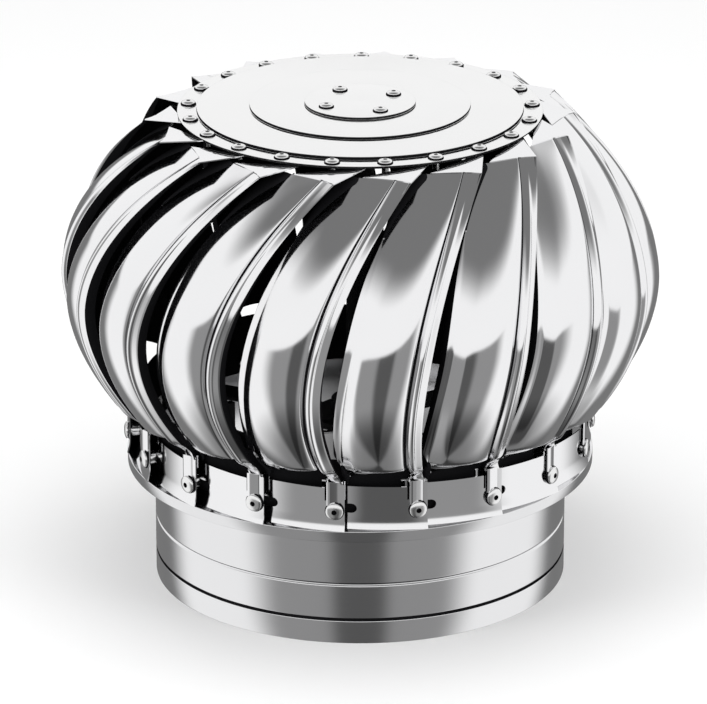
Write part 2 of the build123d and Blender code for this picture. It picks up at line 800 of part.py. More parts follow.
nut_places = (
    bar_height - washer_thickness - spindle_nut_height - 2 * seat_gap,
    bar_stack_top + washer_thickness + 2 * seat_gap,
)
with BuildPart() as spindle_nuts:
    for height in nut_places:
        with BuildSketch(Plane.XY.offset(height)):
            RegularPolygon(spindle_nut_width / 2, 6, major_radius=False)
            Circle(bearing_bore_radius, mode=Mode.SUBTRACT)
        extrude(amount=spindle_nut_height)
spindle_nuts.part.label = "spindle_nuts"
export_step(spindle_nuts.part, "parts/spindle_nuts.step")

with BuildPart() as set_collar:
    with BuildSketch(Plane.XY.offset(lower_bearing_bottom - seat_gap)):
        Circle(set_collar_radius)
        Circle(bearing_bore_radius, mode=Mode.SUBTRACT)
    extrude(amount=-set_collar_height)
    chamfer(set_collar.edges().sort_by(Axis.Z)[0:2].sort_by(SortBy.LENGTH)[-1], length=1)
set_collar.part.label = "set_collar"
export_step(set_collar.part, "parts/set_collar.step")

with BuildPart() as spacer_tube:
    with BuildSketch(Plane.XY.offset(lower_bearing_top + seat_gap)):
        Circle(bearing_bore_radius + spacer_tube_wall)
        Circle(bearing_bore_radius, mode=Mode.SUBTRACT)
    extrude(amount=upper_bearing_bottom - lower_bearing_top - 2 * seat_gap)
spacer_tube.part.label = "spacer_tube"
export_step(spacer_tube.part, "parts/spacer_tube.step")

with BuildPart() as lock_nut:
    with BuildSketch(Plane.XY.offset(upper_bearing_top + seat_gap)):
        RegularPolygon(lock_nut_width / 2, 6, major_radius=False)
        Circle(bearing_bore_radius, mode=Mode.SUBTRACT)
    extrude(amount=lock_nut_height)
lock_nut.part.label = "lock_nut"
export_step(lock_nut.part, "parts/lock_nut.step")
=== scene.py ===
"""Looks of a roof turbine ventilator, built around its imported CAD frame.

Blender 4.5. Metres, +Z up, the ventilator's front towards -Y. Angles round the spindle are
counted in degrees from the front, positive to the right. Sheet-metal pieces that need a
smooth polished surface are modelled again here, in the places of their CAD nodes.
"""

import logging
import math
from dataclasses import dataclass, field
from enum import Enum

import bpy
import numpy as np
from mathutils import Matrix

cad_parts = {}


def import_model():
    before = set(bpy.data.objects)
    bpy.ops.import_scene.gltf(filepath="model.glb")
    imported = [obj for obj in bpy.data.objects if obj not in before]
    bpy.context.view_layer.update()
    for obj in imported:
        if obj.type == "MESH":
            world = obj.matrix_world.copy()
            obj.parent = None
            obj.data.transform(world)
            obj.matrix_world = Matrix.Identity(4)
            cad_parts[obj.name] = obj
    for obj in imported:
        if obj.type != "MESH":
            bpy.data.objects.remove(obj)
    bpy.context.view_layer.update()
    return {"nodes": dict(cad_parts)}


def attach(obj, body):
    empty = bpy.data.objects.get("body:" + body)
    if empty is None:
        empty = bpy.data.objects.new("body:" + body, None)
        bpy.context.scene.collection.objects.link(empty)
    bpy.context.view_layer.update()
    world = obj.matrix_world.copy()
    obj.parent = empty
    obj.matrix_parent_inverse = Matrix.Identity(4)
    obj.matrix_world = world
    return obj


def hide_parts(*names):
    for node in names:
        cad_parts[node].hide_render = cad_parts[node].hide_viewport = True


LOG = logging.getLogger("ventilator")
MM = 0.001
PICTURE_WIDTH = 707
SENSOR_WIDTH = 36.0


class Body(Enum):
    """Rigid bodies of the frame."""

    BASE = "base"
    ROTOR = "rotor"


# ------------------------------------------------------------------ finishes


@dataclass(frozen=True)
class Finish:
    """A metal finish and the fine marks that it carries.

    Attributes:
        name: Name of the material.
        color: Base colour, linear.
        roughness: Mean roughness.
        variation: How far the roughness wanders either way.
        grain: Noise scale along X, Y and Z, per metre, which sets the direction of the marks.
        bump: Depth of the marks in metres.
        metallic: 1 for bare metal.
        smudge: How much darker the faint cloudy patches are.
        specular: Specular level of a surface that is not bare metal.
    """

    name: str
    color: tuple[float, float, float]
    roughness: float
    variation: float = 0.02
    grain: tuple[float, float, float] = (60.0, 60.0, 60.0)
    bump: float = 0.0
    metallic: float = 1.0
    smudge: float = 0.04
    specular: float = 0.5

    def build(self) -> bpy.types.Material:
        """Makes the node material.

        Returns:
            The material, with its marks driven by object coordinates.
        """
        material = bpy.data.materials.new(self.name)
        material.use_nodes = True
        nodes, links = material.node_tree.nodes, material.node_tree.links
        shader = nodes["Principled BSDF"]
        shader.inputs["Metallic"].default_value = self.metallic
        shader.inputs["Specular IOR Level"].default_value = self.specular
        place = nodes.new("ShaderNodeTexCoord")
        stretch = nodes.new("ShaderNodeMapping")
        stretch.inputs["Scale"].default_value = self.grain
        links.new(place.outputs["Object"], stretch.inputs["Vector"])
        marks = nodes.new("ShaderNodeTexNoise")
        marks.inputs["Scale"].default_value = 1.0
        marks.inputs["Detail"].default_value = 4.0
        links.new(stretch.outputs["Vector"], marks.inputs["Vector"])
        rough = nodes.new("ShaderNodeMapRange")
        rough.inputs["To Min"].default_value = max(0.02, self.roughness - self.variation)
        rough.inputs["To Max"].default_value = self.roughness + self.variation
        links.new(marks.outputs["Fac"], rough.inputs["Value"])
        links.new(rough.outputs["Result"], shader.inputs["Roughness"])
        clouds = nodes.new("ShaderNodeTexNoise")
        clouds.inputs["Scale"].default_value = 14.0
        clouds.inputs["Detail"].default_value = 3.0
        links.new(place.outputs["Object"], clouds.inputs["Vector"])
        tint = nodes.new("ShaderNodeMix")
        tint.data_type = "RGBA"
        tint.inputs["A"].default_value = (*self.color, 1)
        tint.inputs["B"].default_value = (*(c * (1 - self.smudge) for c in self.color), 1)
        links.new(clouds.outputs["Fac"], tint.inputs["Factor"])
        links.new(tint.outputs["Result"], shader.inputs["Base Color"])
        if self.bump:
            bump = nodes.new("ShaderNodeBump")
            bump.inputs["Strength"].default_value = 1.0
            bump.inputs["Distance"].default_value = self.bump
            links.new(marks.outputs["Fac"], bump.inputs["Height"])
            links.new(bump.outputs["Normal"], shader.inputs["Normal"])
        return material


POLISHED = Finish("polished_stainless", (0.88, 0.88, 0.89), 0.09, 0.02, (9, 9, 9))
CAP_POLISH = Finish("soft_polished_stainless", (0.89, 0.89, 0.89), 0.14, 0.03, (40, 40, 40))
SATIN = Finish("satin_stainless", (0.82, 0.82, 0.83), 0.16, 0.03, (5, 5, 900), 0.000002)
ROLLED = Finish("rolled_stainless", (0.80, 0.80, 0.81), 0.14, 0.03, (30, 30, 300), 0.000002)
SCREW_STEEL = Finish("screw_stainless", (0.86, 0.86, 0.86), 0.20, 0.03, (200, 200, 200))
# SHADED is painted shade: a near-black colour with no gloss. It stands in for shadow on inner faces, in
# creases, grooves and recesses, and on dark strips added to close the view through gaps.
SHADED = Finish("shaded_inside", (0.010, 0.010, 0.011), 0.70, 0.05, (60, 60, 60), 0.0, 0.0, 0.3, 0.0)
# The steel of the inner frame and of the ring under the cap's rim is coloured near black: painted shade.
PAINTED_SHADE_STEEL = Finish("painted_shade_steel", (0.014, 0.014, 0.015), 0.55, 0.06, (80, 80, 400), 0.00001, 0.0, 0.3, 0.1)
BEARING = Finish("ground_steel", (0.62, 0.62, 0.64), 0.20, 0.03, (30, 30, 500))


# ------------------------------------------------------------------ mesh helpers


def start_fresh() -> None:
    """Leaves every object deselected and out of edit mode."""
    if bpy.context.object and bpy.context.object.mode != "OBJECT":
        bpy.ops.object.mode_set(mode="OBJECT")
    bpy.ops.object.select_all(action="DESELECT")


def pick(*pieces: bpy.types.Object) -> None:
    """Selects the pieces alone and makes the first one active."""
    start_fresh()
    for piece in pieces:
        piece.select_set(True)
    bpy.context.view_layer.objects.active = pieces[0]


def join(name: str, pieces: list[bpy.types.Object]) -> bpy.types.Object:
    """Joins pieces into one object.

    Args:
        name: Name of the joined object and its mesh.
        pieces: The objects to join.

    Returns:
        The joined object.
    """
    pick(*pieces)
    if len(pieces) > 1:
        bpy.ops.object.join()
    joined = bpy.context.object
    joined.name = name
    joined.data.name = name
    return joined


def finish_mesh(piece: bpy.types.Object, angle: float = 35.0) -> None:
    """Turns the normals outwards and shades curved faces smooth."""
    pick(piece)
    bpy.ops.object.mode_set(mode="EDIT")
    bpy.ops.mesh.select_all(action="SELECT")
    bpy.ops.mesh.normals_make_consistent(inside=False)
    bpy.ops.object.mode_set(mode="OBJECT")
    bpy.ops.object.shade_smooth_by_angle(angle=math.radians(angle))


def apply_modifiers(piece: bpy.types.Object) -> None:
    """Applies every modifier of the piece."""
    pick(piece)
    for modifier in list(piece.modifiers):
        bpy.ops.object.modifier_apply(modifier=modifier.name)


def sheet_grid(
    name: str, rows: np.ndarray, thickness: float, faces: tuple, shaded: tuple = ()
) -> bpy.types.Object:
    """A sheet of metal whose outer face runs through a grid of points.

    Args:
        name: Name of the object.
        rows: Points of the outer face, as rows x columns x 3, in metres.
        thickness: Thickness of the sheet, added behind the outer face.
        faces: Materials of the outer face and of the inner face; the inner one is painted shade.
        shaded: First and last columns of the strips that take the inner face's painted shade too.

    Returns:
        A closed sheet, polished outside and painted with shade inside.
    """
    count_along, count_across = rows.shape[:2]
    start_fresh()
    bpy.ops.mesh.primitive_grid_add(
        x_subdivisions=count_across - 1, y_subdivisions=count_along - 1, size=1
    )
    piece = bpy.context.object
    piece.name = name
    piece.data.vertices.foreach_set("co", rows.reshape(-1))
    piece.data.update()
    solid = piece.modifiers.new("thickness", "SOLIDIFY")
    solid.thickness = thickness
    solid.offset = -1
    # The inner face takes the second material, near black: painted shade.
    solid.material_offset = 1
    solid.material_offset_rim = 0
    dressed(piece, *faces)
    for number, polygon in enumerate(piece.data.polygons):
        column = number % (count_across - 1)
        polygon.material_index = int(any(first <= column < last for first, last in shaded))
    apply_modifiers(piece)
    return piece


def lathe(name: str, profile: list[tuple[float, float]], steps: int = 180) -> bpy.types.Object:
    """Spins a profile round the Z axis.

    Args:
        name: Name of the object.
        profile: Closed outline as (radius, height) pairs in millimetres.
        steps: Number of steps in the full turn.

    Returns:
        The turned piece.
    """
    start_fresh()
    bpy.ops.mesh.primitive_circle_add(vertices=len(profile), radius=1, fill_type="NOTHING")
    piece = bpy.context.object
    piece.name = name
    points = np.array([(radius * MM, 0, height * MM) for radius, height in profile])
    piece.data.vertices.foreach_set("co", points.reshape(-1))
    bpy.ops.object.mode_set(mode="EDIT")
    bpy.ops.mesh.select_all(action="SELECT")
    bpy.ops.mesh.spin(steps=steps, angle=2 * math.pi, center=(0, 0, 0), axis=(0, 0, 1))
    bpy.ops.mesh.select_all(action="SELECT")
    bpy.ops.mesh.remove_doubles(threshold=0.00001)
    bpy.ops.object.mode_set(mode="OBJECT")
    finish_mesh(piece)
    return piece


def softened(profile: list[tuple[float, float]], radius: float, steps: int = 3) -> list[tuple[float, float]]:
    """Rounds the corners of a closed profile.

    Args:
        profile: Corner points in millimetres.
        radius: Distance from each corner at which its rounding starts.
        steps: Pieces in each rounded corner.

    Returns:
        The outline with each corner replaced by a short curve.
    """
    corners = [np.array(point, float) for point in profile]
    outline = []
    for index, corner in enumerate(corners):
        before = corners[index - 1] - corner
        after = corners[(index + 1) % len(corners)] - corner
        cut = min(radius, np.linalg.norm(before) / 2.2, np.linalg.norm(after) / 2.2)
        first = corner + before / max(np.linalg.norm(before), 1e-9) * cut
        last = corner + after / max(np.linalg.norm(after), 1e-9) * cut
        for step in range(steps + 1):
            share = step / steps
            point = first * (1 - share) ** 2 + corner * 2 * share * (1 - share) + last * share**2
            outline.append((float(point[0]), float(point[1])))
    return outline


def dressed(piece: bpy.types.Object, *materials: bpy.types.Material) -> None:
    """Gives a piece its materials, in slot order."""
    for index, material in enumerate(materials):
        if index < len(piece.data.materials):
            piece.data.materials[index] = material
        else:
            piece.data.materials.append(material)


def polar(radius: float, angle: float) -> tuple[float, float]:
    """Point of the plan at a radius and an angle from the front."""
    turn = math.radians(angle)
    return radius * math.sin(turn), -radius * math.cos(turn)


def turned_copies(piece: bpy.types.Object, angles: list[float]) -> list[bpy.types.Object]:
    """Copies a piece round the Z axis, with each turn applied to its mesh."""
    copies = []
    for angle in angles:
        pick(piece)
        bpy.ops.object.duplicate()
        copy = bpy.context.object
        bpy.ops.transform.rotate(
            value=-math.radians(angle), orient_axis="Z", center_override=(0, 0, 0)
        )
        bpy.ops.object.transform_apply(location=True, rotation=True, scale=True)
        copies.append(copy)
    return copies


# ------------------------------------------------------------------ blades


@dataclass
class Blade:
    """One blade of the globe: body, rib, leading strip, crown flange and foot, in millimetres."""

    count: int = 18
    sheet: float = 0.8
    equator_radius: float = 216.0
    equator_height: float = 228.0
    crown_radius: float = 155.0
    crown_height: float = 345.0
    fullness: float = 1.85
    foot_bottom: float = 94.0
    foot_top: float = 129.0
    roll_radius: float = 171.3
    stagger: float = 20.5
    sweep_height: float = 200.0
    sweep_rate: float = 0.0030
    middle_sweep_rate: float = 0.00345
    shoulder_offset: float = -76.0
    shoulder_sweep_rate: float = 0.0037
    skin_depth: float = 4.0
    return_depth: float = 7.0
    # The hem along the lip and the tuck along the edge are turned-in strips of sheet in painted shade, added
    # to close the view through the gaps between blades.
    shade_hem: float = 10.0
    shade_hem_heights: tuple[float, float] = (143.0, 160.0)
    crown_tuck: float = 13.0
    crown_flare: float = 3.0
    crown_power: int = 8
    window_height: float = 14.0
    window_bottom: float = 125.6
    window_top: float = 143.0
    # Column strips in painted shade: the hem at the lip, the crease beside the rib, and the tuck at the
    # edge.
    shaded_columns: tuple = ((0, 3), (45, 49), (72, 75))
    shade_tuck: float = 8.0
    slit_width: float = 1.3
    slit_length: float = 10.0
    slit_rise: float = 7.0
    tab_width: float = 11.4
    tab_swell: float = 1.3
    rows: int = 84
    fold_columns: tuple = ((0, 0), (1, 3), (2, 4), (3, 13), (15, 20), (17, 7), (25, 18), (26, 7), (27, 3))
    fold_rounding: float = 0.35
    shoulder_rounding: float = 1.8
    notch_depth: float = 1.3
    flare_reach: float = 1.9
    flare_height: float = 9.0
    flare_power: float = 1.6
    foot_angles: tuple[float, float] = (-29.6, -3.7)
    screw_angle: float = -6.11
    screw_height: float = 109.0
    slot_angle: float = -24.3
    slot_length: float = 17.5
    slot_height: float = 7.0
    tip_angle: float = 22.9
    cap_radius: float = 130.7
    tip_height: float = 349.0
    faces: tuple = ()

    def globe(self, height: float) -> float:
        """Outer radius of the globe at a height."""
        reach = abs(height - self.equator_height) / (self.crown_height - self.equator_height)
        return self.equator_radius - (self.equator_radius - self.crown_radius) * reach**self.fullness

    def foot_radius(self, angle: float) -> float:
        """Radius of the foot's outer face at an angle."""
        sideways = self.stagger * math.sin(math.radians(angle))
        forwards = self.stagger * math.cos(math.radians(angle))
        return sideways + math.sqrt(self.roll_radius**2 - forwards**2)

    def line(self, height: float, offset: float, rate: float, depth: float, relief: float, share: float):
        """Point of one line that runs along the blade."""
        rise = max(0.0, (height - self.foot_top) / (self.crown_height - self.foot_top))
        crown = rise**self.crown_power
        lean = self.crown_tuck - (self.crown_tuck + self.crown_flare) * share
        radius = self.globe(height) - (depth + lean * crown - relief * (1 - crown))
        sideways = offset + rate * (height - self.sweep_height) ** 2
        landed = np.array([sideways, -math.sqrt(self.roll_radius**2 - (sideways - self.stagger) ** 2)])
        free = np.array([sideways, -math.sqrt(radius**2 - sideways**2)])
        landing = min(1.0, max(0.0, (height - self.foot_top) / self.window_height))
        blend = landing * landing * (3 - 2 * landing)
        return landed * (1 - blend) + free * blend

    def shoulder(self, height: float) -> np.ndarray:
        """Point where the body turns in to its trailing return."""
        return self.line(height, self.shoulder_offset, self.shoulder_sweep_rate, self.skin_depth, 0, 0)

    def section(self, height: float) -> np.ndarray:
        """Outer face in a level section, evenly spaced, with its folds rounded."""
        rise = max(0.0, (height - self.foot_top) / (self.crown_height - self.foot_top))
        fade = max(0.08, 1 - max(0.0, 2 * rise - 1) ** 4)
        fade *= float(np.interp(height, (135.0, 155.0), (0.3, 1)))
        depth = self.skin_depth
        shoulder = self.shoulder(height)
        lip = self.line(height, -84.5, self.sweep_rate, depth + self.return_depth, 0, 0)
        root = self.line(height, -80.5, self.sweep_rate, depth + self.return_depth - 1, 0, 0)
        lip = shoulder + (lip - shoulder) * fade
        inner = float(np.interp(height, self.shade_hem_heights, (0.35, 1)))
        inner *= min(1.0, 0.35 + 4 * (1 - rise))
        # The hem turned in from the lip, and the tuck at the edge, are dark strips of painted shade.
        shade_hem = lip + self.inward(lip) * self.shade_hem * inner
        middle = self.line(height, -57.5, self.middle_sweep_rate, depth, 4.0, 0.25)
        crease = self.line(height, -38.9, self.sweep_rate, depth, 0, 0.5)
        crest = self.line(height, -35.9, self.sweep_rate, depth, 3.5, 0.6)
        strip = self.line(height, -33.4, self.sweep_rate, depth, 2.0, 0.7)
        edge = self.line(height, -27.7, self.sweep_rate, depth, 0, 1.0)
        notch = crease + (crease - crest) * np.array([0.1, 0.0]) + self.inward(crease) * self.notch_depth
        path = [shade_hem, lip, root, shoulder]
        path += [curve_point(shoulder, middle, crease, share) for share in np.linspace(0, 1, 14)[1:-1]]
        path += [crease - (crest - crease) * 0.25, notch]
        path += [curve_point(crease, crest, strip, share) for share in np.linspace(0.22, 1, 8)]
        path += [edge, edge + self.inward(edge) * self.shade_tuck * inner]
        return rounded_path(np.array(path), self.fold_columns, (self.fold_rounding, self.shoulder_rounding))

    def inward(self, point: np.ndarray) -> np.ndarray:
        """Direction from a point of the plan to the spindle."""
        return -point / np.linalg.norm(point)

    def body(self) -> bpy.types.Object:
        """Curved body from the foot to the crown, with the window cut above the foot."""
        heights = np.linspace(self.foot_top - 1, self.crown_height, self.rows)
        columns = 1 + sum(count for _, count in self.fold_columns)
        rows = np.zeros((self.rows, columns, 3))
        for index, height in enumerate(heights):
            rows[index, :, :2] = self.section(height)
            rows[index, :, 2] = height
        piece = sheet_grid("blade_body", rows * MM, self.sheet * MM, self.faces, self.shaded_columns)
        self.cut(piece, self.window_cutter())
        return piece

    def cut(self, piece: bpy.types.Object, cutter: bpy.types.Object) -> None:
        """Cuts a closed shape out of a piece and deletes the shape."""
        boolean = piece.modifiers.new("cut", "BOOLEAN")
        boolean.operation = "DIFFERENCE"
        boolean.solver = "EXACT"
        boolean.use_self = True
        boolean.object = cutter
        apply_modifiers(piece)
        bpy.data.objects.remove(cutter)

    def window_cutter(self) -> bpy.types.Object:
        """Lens-shaped block over the gap between the body and the foot."""
        rise = self.window_top - self.window_bottom
        left, right = -64.0, -23.0
        outline = [(left, self.window_bottom), (right, self.window_bottom)]
        outline += [(right - 1.5, self.window_bottom + rise * 0.5), (right - 5, self.window_top)]
        for turn in np.linspace(math.pi / 2, math.pi * 0.95, 9):
            across = left + 12 + 11.5 * math.cos(turn)
            outline += [(across, self.window_bottom + rise * math.sin(turn))]
        return prism("window_cutter", outline, -130.0, -216.0)

    def foot(self) -> bpy.types.Object:
        """Rolled foot plate with its slot, the window and a slit cut out."""
        angles = np.linspace(*self.foot_angles, 40)
        heights = np.linspace(self.foot_bottom, self.foot_top, 36)
        rows = np.zeros((36, 40, 3))
        for column, angle in enumerate(angles):
            across, depth = polar(self.foot_radius(angle), angle)
            rows[:, column, 0] = across
            rows[:, column, 1] = depth
        below = (self.foot_bottom + self.flare_height - heights) / self.flare_height
        flare = self.flare_reach * np.clip(below, 0, 1) ** self.flare_power
        rows[:, :, :2] *= (1 + flare / self.roll_radius)[:, None, None]
        rows[:, :, 2] = heights[:, None]
        piece = sheet_grid("blade_foot", rows * MM, self.sheet * MM, self.faces)
        half = self.slot_length / 2 - self.slot_height / 2
        across, _ = polar(self.foot_radius(self.slot_angle), self.slot_angle)
        slot = []
        for centre, start in ((across + half, -90), (across - half, 90)):
            for step in range(9):
                turn = math.radians(start + step * 22.5)
                slot.append((centre + self.slot_height / 2 * math.cos(turn),
                             self.screw_height + self.slot_height / 2 * math.sin(turn)))
        self.cut(piece, prism("slot_cutter", slot, -140.0, -175.0))
        self.cut(piece, self.window_cutter())
        tab_left = polar(self.foot_radius(self.screw_angle), self.screw_angle)[0] - self.tab_width / 2
        low = self.screw_height + self.slit_rise
        high = low + self.slit_length
        slit_left = tab_left - self.slit_width
        slit = [(slit_left, low), (tab_left, low), (tab_left, high), (slit_left, high)]
        self.cut(piece, prism("slit_cutter", slit, -140.0, -180.0))
        return piece

    def bead(self) -> bpy.types.Object:
        """Raised tab that takes the leading strip down to the screw."""
        radius = self.foot_radius(self.screw_angle)
        across, depth = polar(radius, self.screw_angle)
        columns = 17
        heights = np.linspace(self.screw_height + 4.0, self.foot_top + 1.5, 10)
        rows = np.zeros((10, columns, 3))
        for column, share in enumerate(np.linspace(-1, 1, columns)):
            swell = self.tab_swell * max(0.0, 1 - share**4)
            rows[:, column, 0] = across + share * self.tab_width / 2
            rows[:, column, 1] = depth - swell + 0.55 * share
        rows[:, :, 2] = heights[:, None]
        return sheet_grid("blade_bead", rows * MM, self.sheet * MM, self.faces)

    def crown_flange(self) -> bpy.types.Object:
        """Turned-in crown flange, a thin triangle that reaches under the cap's rim."""
        top = self.section(self.crown_height)
        start = self.shoulder(self.crown_height)
        crease = top[np.argmin(np.linalg.norm(top - start, axis=1)):-self.fold_columns[-1][1]]
        columns = len(crease)
        tip = np.array(polar(self.cap_radius - 4, self.tip_angle))
        rows = np.zeros((14, columns, 3))
        for row, share in enumerate(np.linspace(0, 1, 14)):
            inner = start + (tip - start) * np.linspace(0, 1, columns)[:, None]
            rows[row, :, :2] = crease * (1 - share) + inner * share
            reach = np.linspace(0, 1, columns) * share
            rows[row, :, 2] = self.crown_height + (self.tip_height - self.crown_height) * reach
        return sheet_grid("blade_flange", rows * MM, -self.sheet * MM, self.faces)

    def build(self) -> bpy.types.Object:
        """Whole blade at the front of the rotor."""
        self.faces = (POLISHED.build(), SHADED.build())
        blade = join("blade_form", [self.body(), self.foot(), self.bead(), self.crown_flange()])
        finish_mesh(blade, 40.0)
        return blade


def curve_point(first: np.ndarray, middle: np.ndarray, last: np.ndarray, share: float) -> np.ndarray:
    """Point of the parabola that passes through three points at shares 0, 1/2 and 1."""
    control = 2 * middle - (first + last) / 2
    return first * (1 - share) ** 2 + control * 2 * share * (1 - share) + last * share**2


def smoothed(points: np.ndarray, spread: float) -> np.ndarray:
    """Evenly spaced points blurred along their path, with both ends kept."""
    reach = int(4 * spread) + 1
    kernel = np.exp(-0.5 * (np.arange(-reach, reach + 1) / spread) ** 2)
    kernel /= kernel.sum()
    padded = np.concatenate([
        2 * points[0] - points[reach:0:-1],
        points,
        2 * points[-1] - points[-2:-reach - 2:-1],
    ])
    return np.stack([np.convolve(padded[:, axis], kernel, "valid") for axis in (0, 1)], axis=1)


def rounded_path(path: np.ndarray, stops: tuple, roundings: tuple[float, float]) -> np.ndarray:
    """Points along a path whose corners are rounded, closer together at the folds.

    Args:
        path: Corner points of the path.
        stops: Corner numbers, each with the number of points since the last one.
        roundings: Length over which the corners are smoothed, and that of the corner numbered 3.

    Returns:
        The points, with both ends kept.
    """
    lengths = np.concatenate([[0], np.cumsum(np.linalg.norm(np.diff(path, axis=0), axis=1))])
    dense = np.linspace(0, lengths[-1], 900)
    step = lengths[-1] / 900
    points = np.stack([np.interp(dense, lengths, path[:, axis]) for axis in (0, 1)], axis=1)
    sharp, soft = (smoothed(points, max(rounding / step, 0.5)) for rounding in roundings)
    nearness = np.exp(-(((dense - lengths[3]) / 6.0) ** 4))[:, None]
    points = sharp * (1 - nearness) + soft * nearness
    places = [np.zeros(1)]
    for (before, _), (after, count) in zip(stops, stops[1:]):
        places.append(np.linspace(lengths[before], lengths[after], count + 1)[1:])
    even = np.concatenate(places)
    return np.stack([np.interp(even, dense, points[:, axis]) for axis in (0, 1)], axis=1)


def prism(name: str, outline: list[tuple[float, float]], near: float, far: float) -> bpy.types.Object:
    """Closed block from an outline in X and Z, between two places along Y, in millimetres."""
    start_fresh()
    bpy.ops.mesh.primitive_circle_add(vertices=len(outline), radius=1, fill_type="NGON")
    piece = bpy.context.object
    piece.name = name
    points = np.array([(across * MM, near * MM, height * MM) for across, height in outline])
    piece.data.vertices.foreach_set("co", points.reshape(-1))
    bpy.ops.object.mode_set(mode="EDIT")
    bpy.ops.mesh.select_all(action="SELECT")
    bpy.ops.mesh.extrude_region_move(TRANSFORM_OT_translate={"value": (0, (far - near) * MM, 0)})
    bpy.ops.object.mode_set(mode="OBJECT")
    finish_mesh(piece)
    return piece


# ------------------------------------------------------------------ turned sheet pieces


@dataclass
class Collar:
    """Throat collar with two swaged grooves, in millimetres."""

    radius: float = 150.0
    height: float = 104.0
    sheet: float = 1.0
    groove_heights: tuple[float, ...] = (18.0, 45.0)
    groove_width: float = 3.2
    groove_depth: float = 1.0

    def build(self) -> bpy.types.Object:
        """Turns the collar."""
        outside = [(self.radius, 0.0)]
        for centre in self.groove_heights:
            outside += self.groove(self.radius, centre)
        inside = [(radius - self.sheet, height) for radius, height in outside]
        outside.append((self.radius, self.height))
        inside.append((self.radius - self.sheet, self.height))
        collar = lathe("collar_skin", softened(outside + inside[::-1], 0.35), 256)
        # The low groove and the upper side of the high groove take the second material, near black: painted
        # shade in the grooves.
        low, high = self.groove_heights
        for polygon in collar.data.polygons:
            height = polygon.center[2] / MM
            low_groove_shade = abs(height - low) < self.groove_width * 0.4
            high_groove_shade = 0.1 < (height - high) / self.groove_width < 0.36
            polygon.material_index = int(low_groove_shade or high_groove_shade)
        return collar

    def groove(self, radius: float, centre: float) -> list[tuple[float, float]]:
        """One groove of the outline, from below to above."""
        half = self.groove_width / 2
        steps = np.linspace(-1, 1, 9)
        return [
            (radius - self.groove_depth * (0.5 + 0.5 * math.cos(math.pi * step)), centre + half * step)
            for step in steps
        ]


@dataclass
class LowerRing:
    """Ring that the feet are screwed to, in millimetres."""

    wall_radius: float = 159.3
    lip_radius: float = 169.85
    # The wall rises to just above the windows in the blades, a dark sheet of painted shade seen through
    # them.
    top: float = 144.0
    shelf: float = 93.9
    lip: float = 8.0
    sheet: float = 0.8

    def build(self) -> bpy.types.Object:
        """Turns the ring."""
        profile = [
            (self.wall_radius - self.sheet, self.top),
            (self.wall_radius, self.top),
            (self.wall_radius, self.shelf),
            (self.lip_radius, self.shelf),
            (self.lip_radius, self.shelf - self.lip),
            (self.lip_radius - self.sheet, self.shelf - self.lip),
            (self.lip_radius - self.sheet, self.shelf - self.sheet),
            (self.wall_radius - self.sheet, self.shelf - self.sheet),
        ]
        ring = lathe("lower_ring_skin", softened(profile, 0.5), 256)
        # The wall behind the feet and the ring's inside below the shelf take the second material, near
        # black: painted shade.
        for polygon in ring.data.polygons:
            across, depth, height = polygon.center / MM
            shade_behind_feet = height > self.shelf + 0.3
            within = math.hypot(across, depth) < self.lip_radius - 0.9 * self.sheet
            inside = within and height < self.shelf - 0.5
            polygon.material_index = int(shade_behind_feet or inside)
        return ring


@dataclass
class Cap:
    """Stepped cap and the cover on its hub, in millimetres."""

    radius: float = 130.7
    rim_top: float = 351.0
    sheet: float = 1.0
    tier_radii: tuple[float, float] = (116.8, 79.0)
    tier_tops: tuple[float, float] = (353.4, 355.4)
    bore: float = 24.0
    cover_radius: float = 39.7
    cover_sheet: float = 1.6

    def build(self) -> bpy.types.Object:
        """Turns the cap."""
        first, second = self.tier_radii
        low, high = self.tier_tops
        profile = [
            (self.bore, high),
            (second, high),
            (second, low),
            (first, low),
            (first, self.rim_top),
            (self.radius, self.rim_top),
            (self.radius, self.rim_top - self.sheet),
            (first - self.sheet, self.rim_top - self.sheet),
            (first - self.sheet, low - self.sheet),
            (second - self.sheet, low - self.sheet),
            (second - self.sheet, high - self.sheet),
            (self.bore, high - self.sheet),
        ]
        cap = lathe("cap_skin", softened(profile, 0.3), 256)
        shade_steps(cap, (*self.tier_radii, self.radius))
        return cap

    def cover(self) -> bpy.types.Object:
        """Turns the hub cover."""
        low = self.tier_tops[1] + 0.05
        high = self.tier_tops[1] + self.cover_sheet
        profile = [(0.01, low), (0.01, high), (self.cover_radius, high), (self.cover_radius, low)]
        cover = lathe("hub_cover_skin", softened(profile, 0.4), 160)
        shade_steps(cover, (self.cover_radius,))
        return cover


def shade_steps(piece: bpy.types.Object, radii: tuple[float, ...]) -> None:
    """Shades the upright steps of a turned piece at the given radii, in millimetres."""
    for polygon in piece.data.polygons:
        reach = math.hypot(*polygon.center[:2]) / MM
        upright = abs(polygon.normal[2]) < 0.6
        near = any(abs(reach - radius) < 0.9 for radius in radii)
        polygon.material_index = int(upright and near)


# ------------------------------------------------------------------ screws


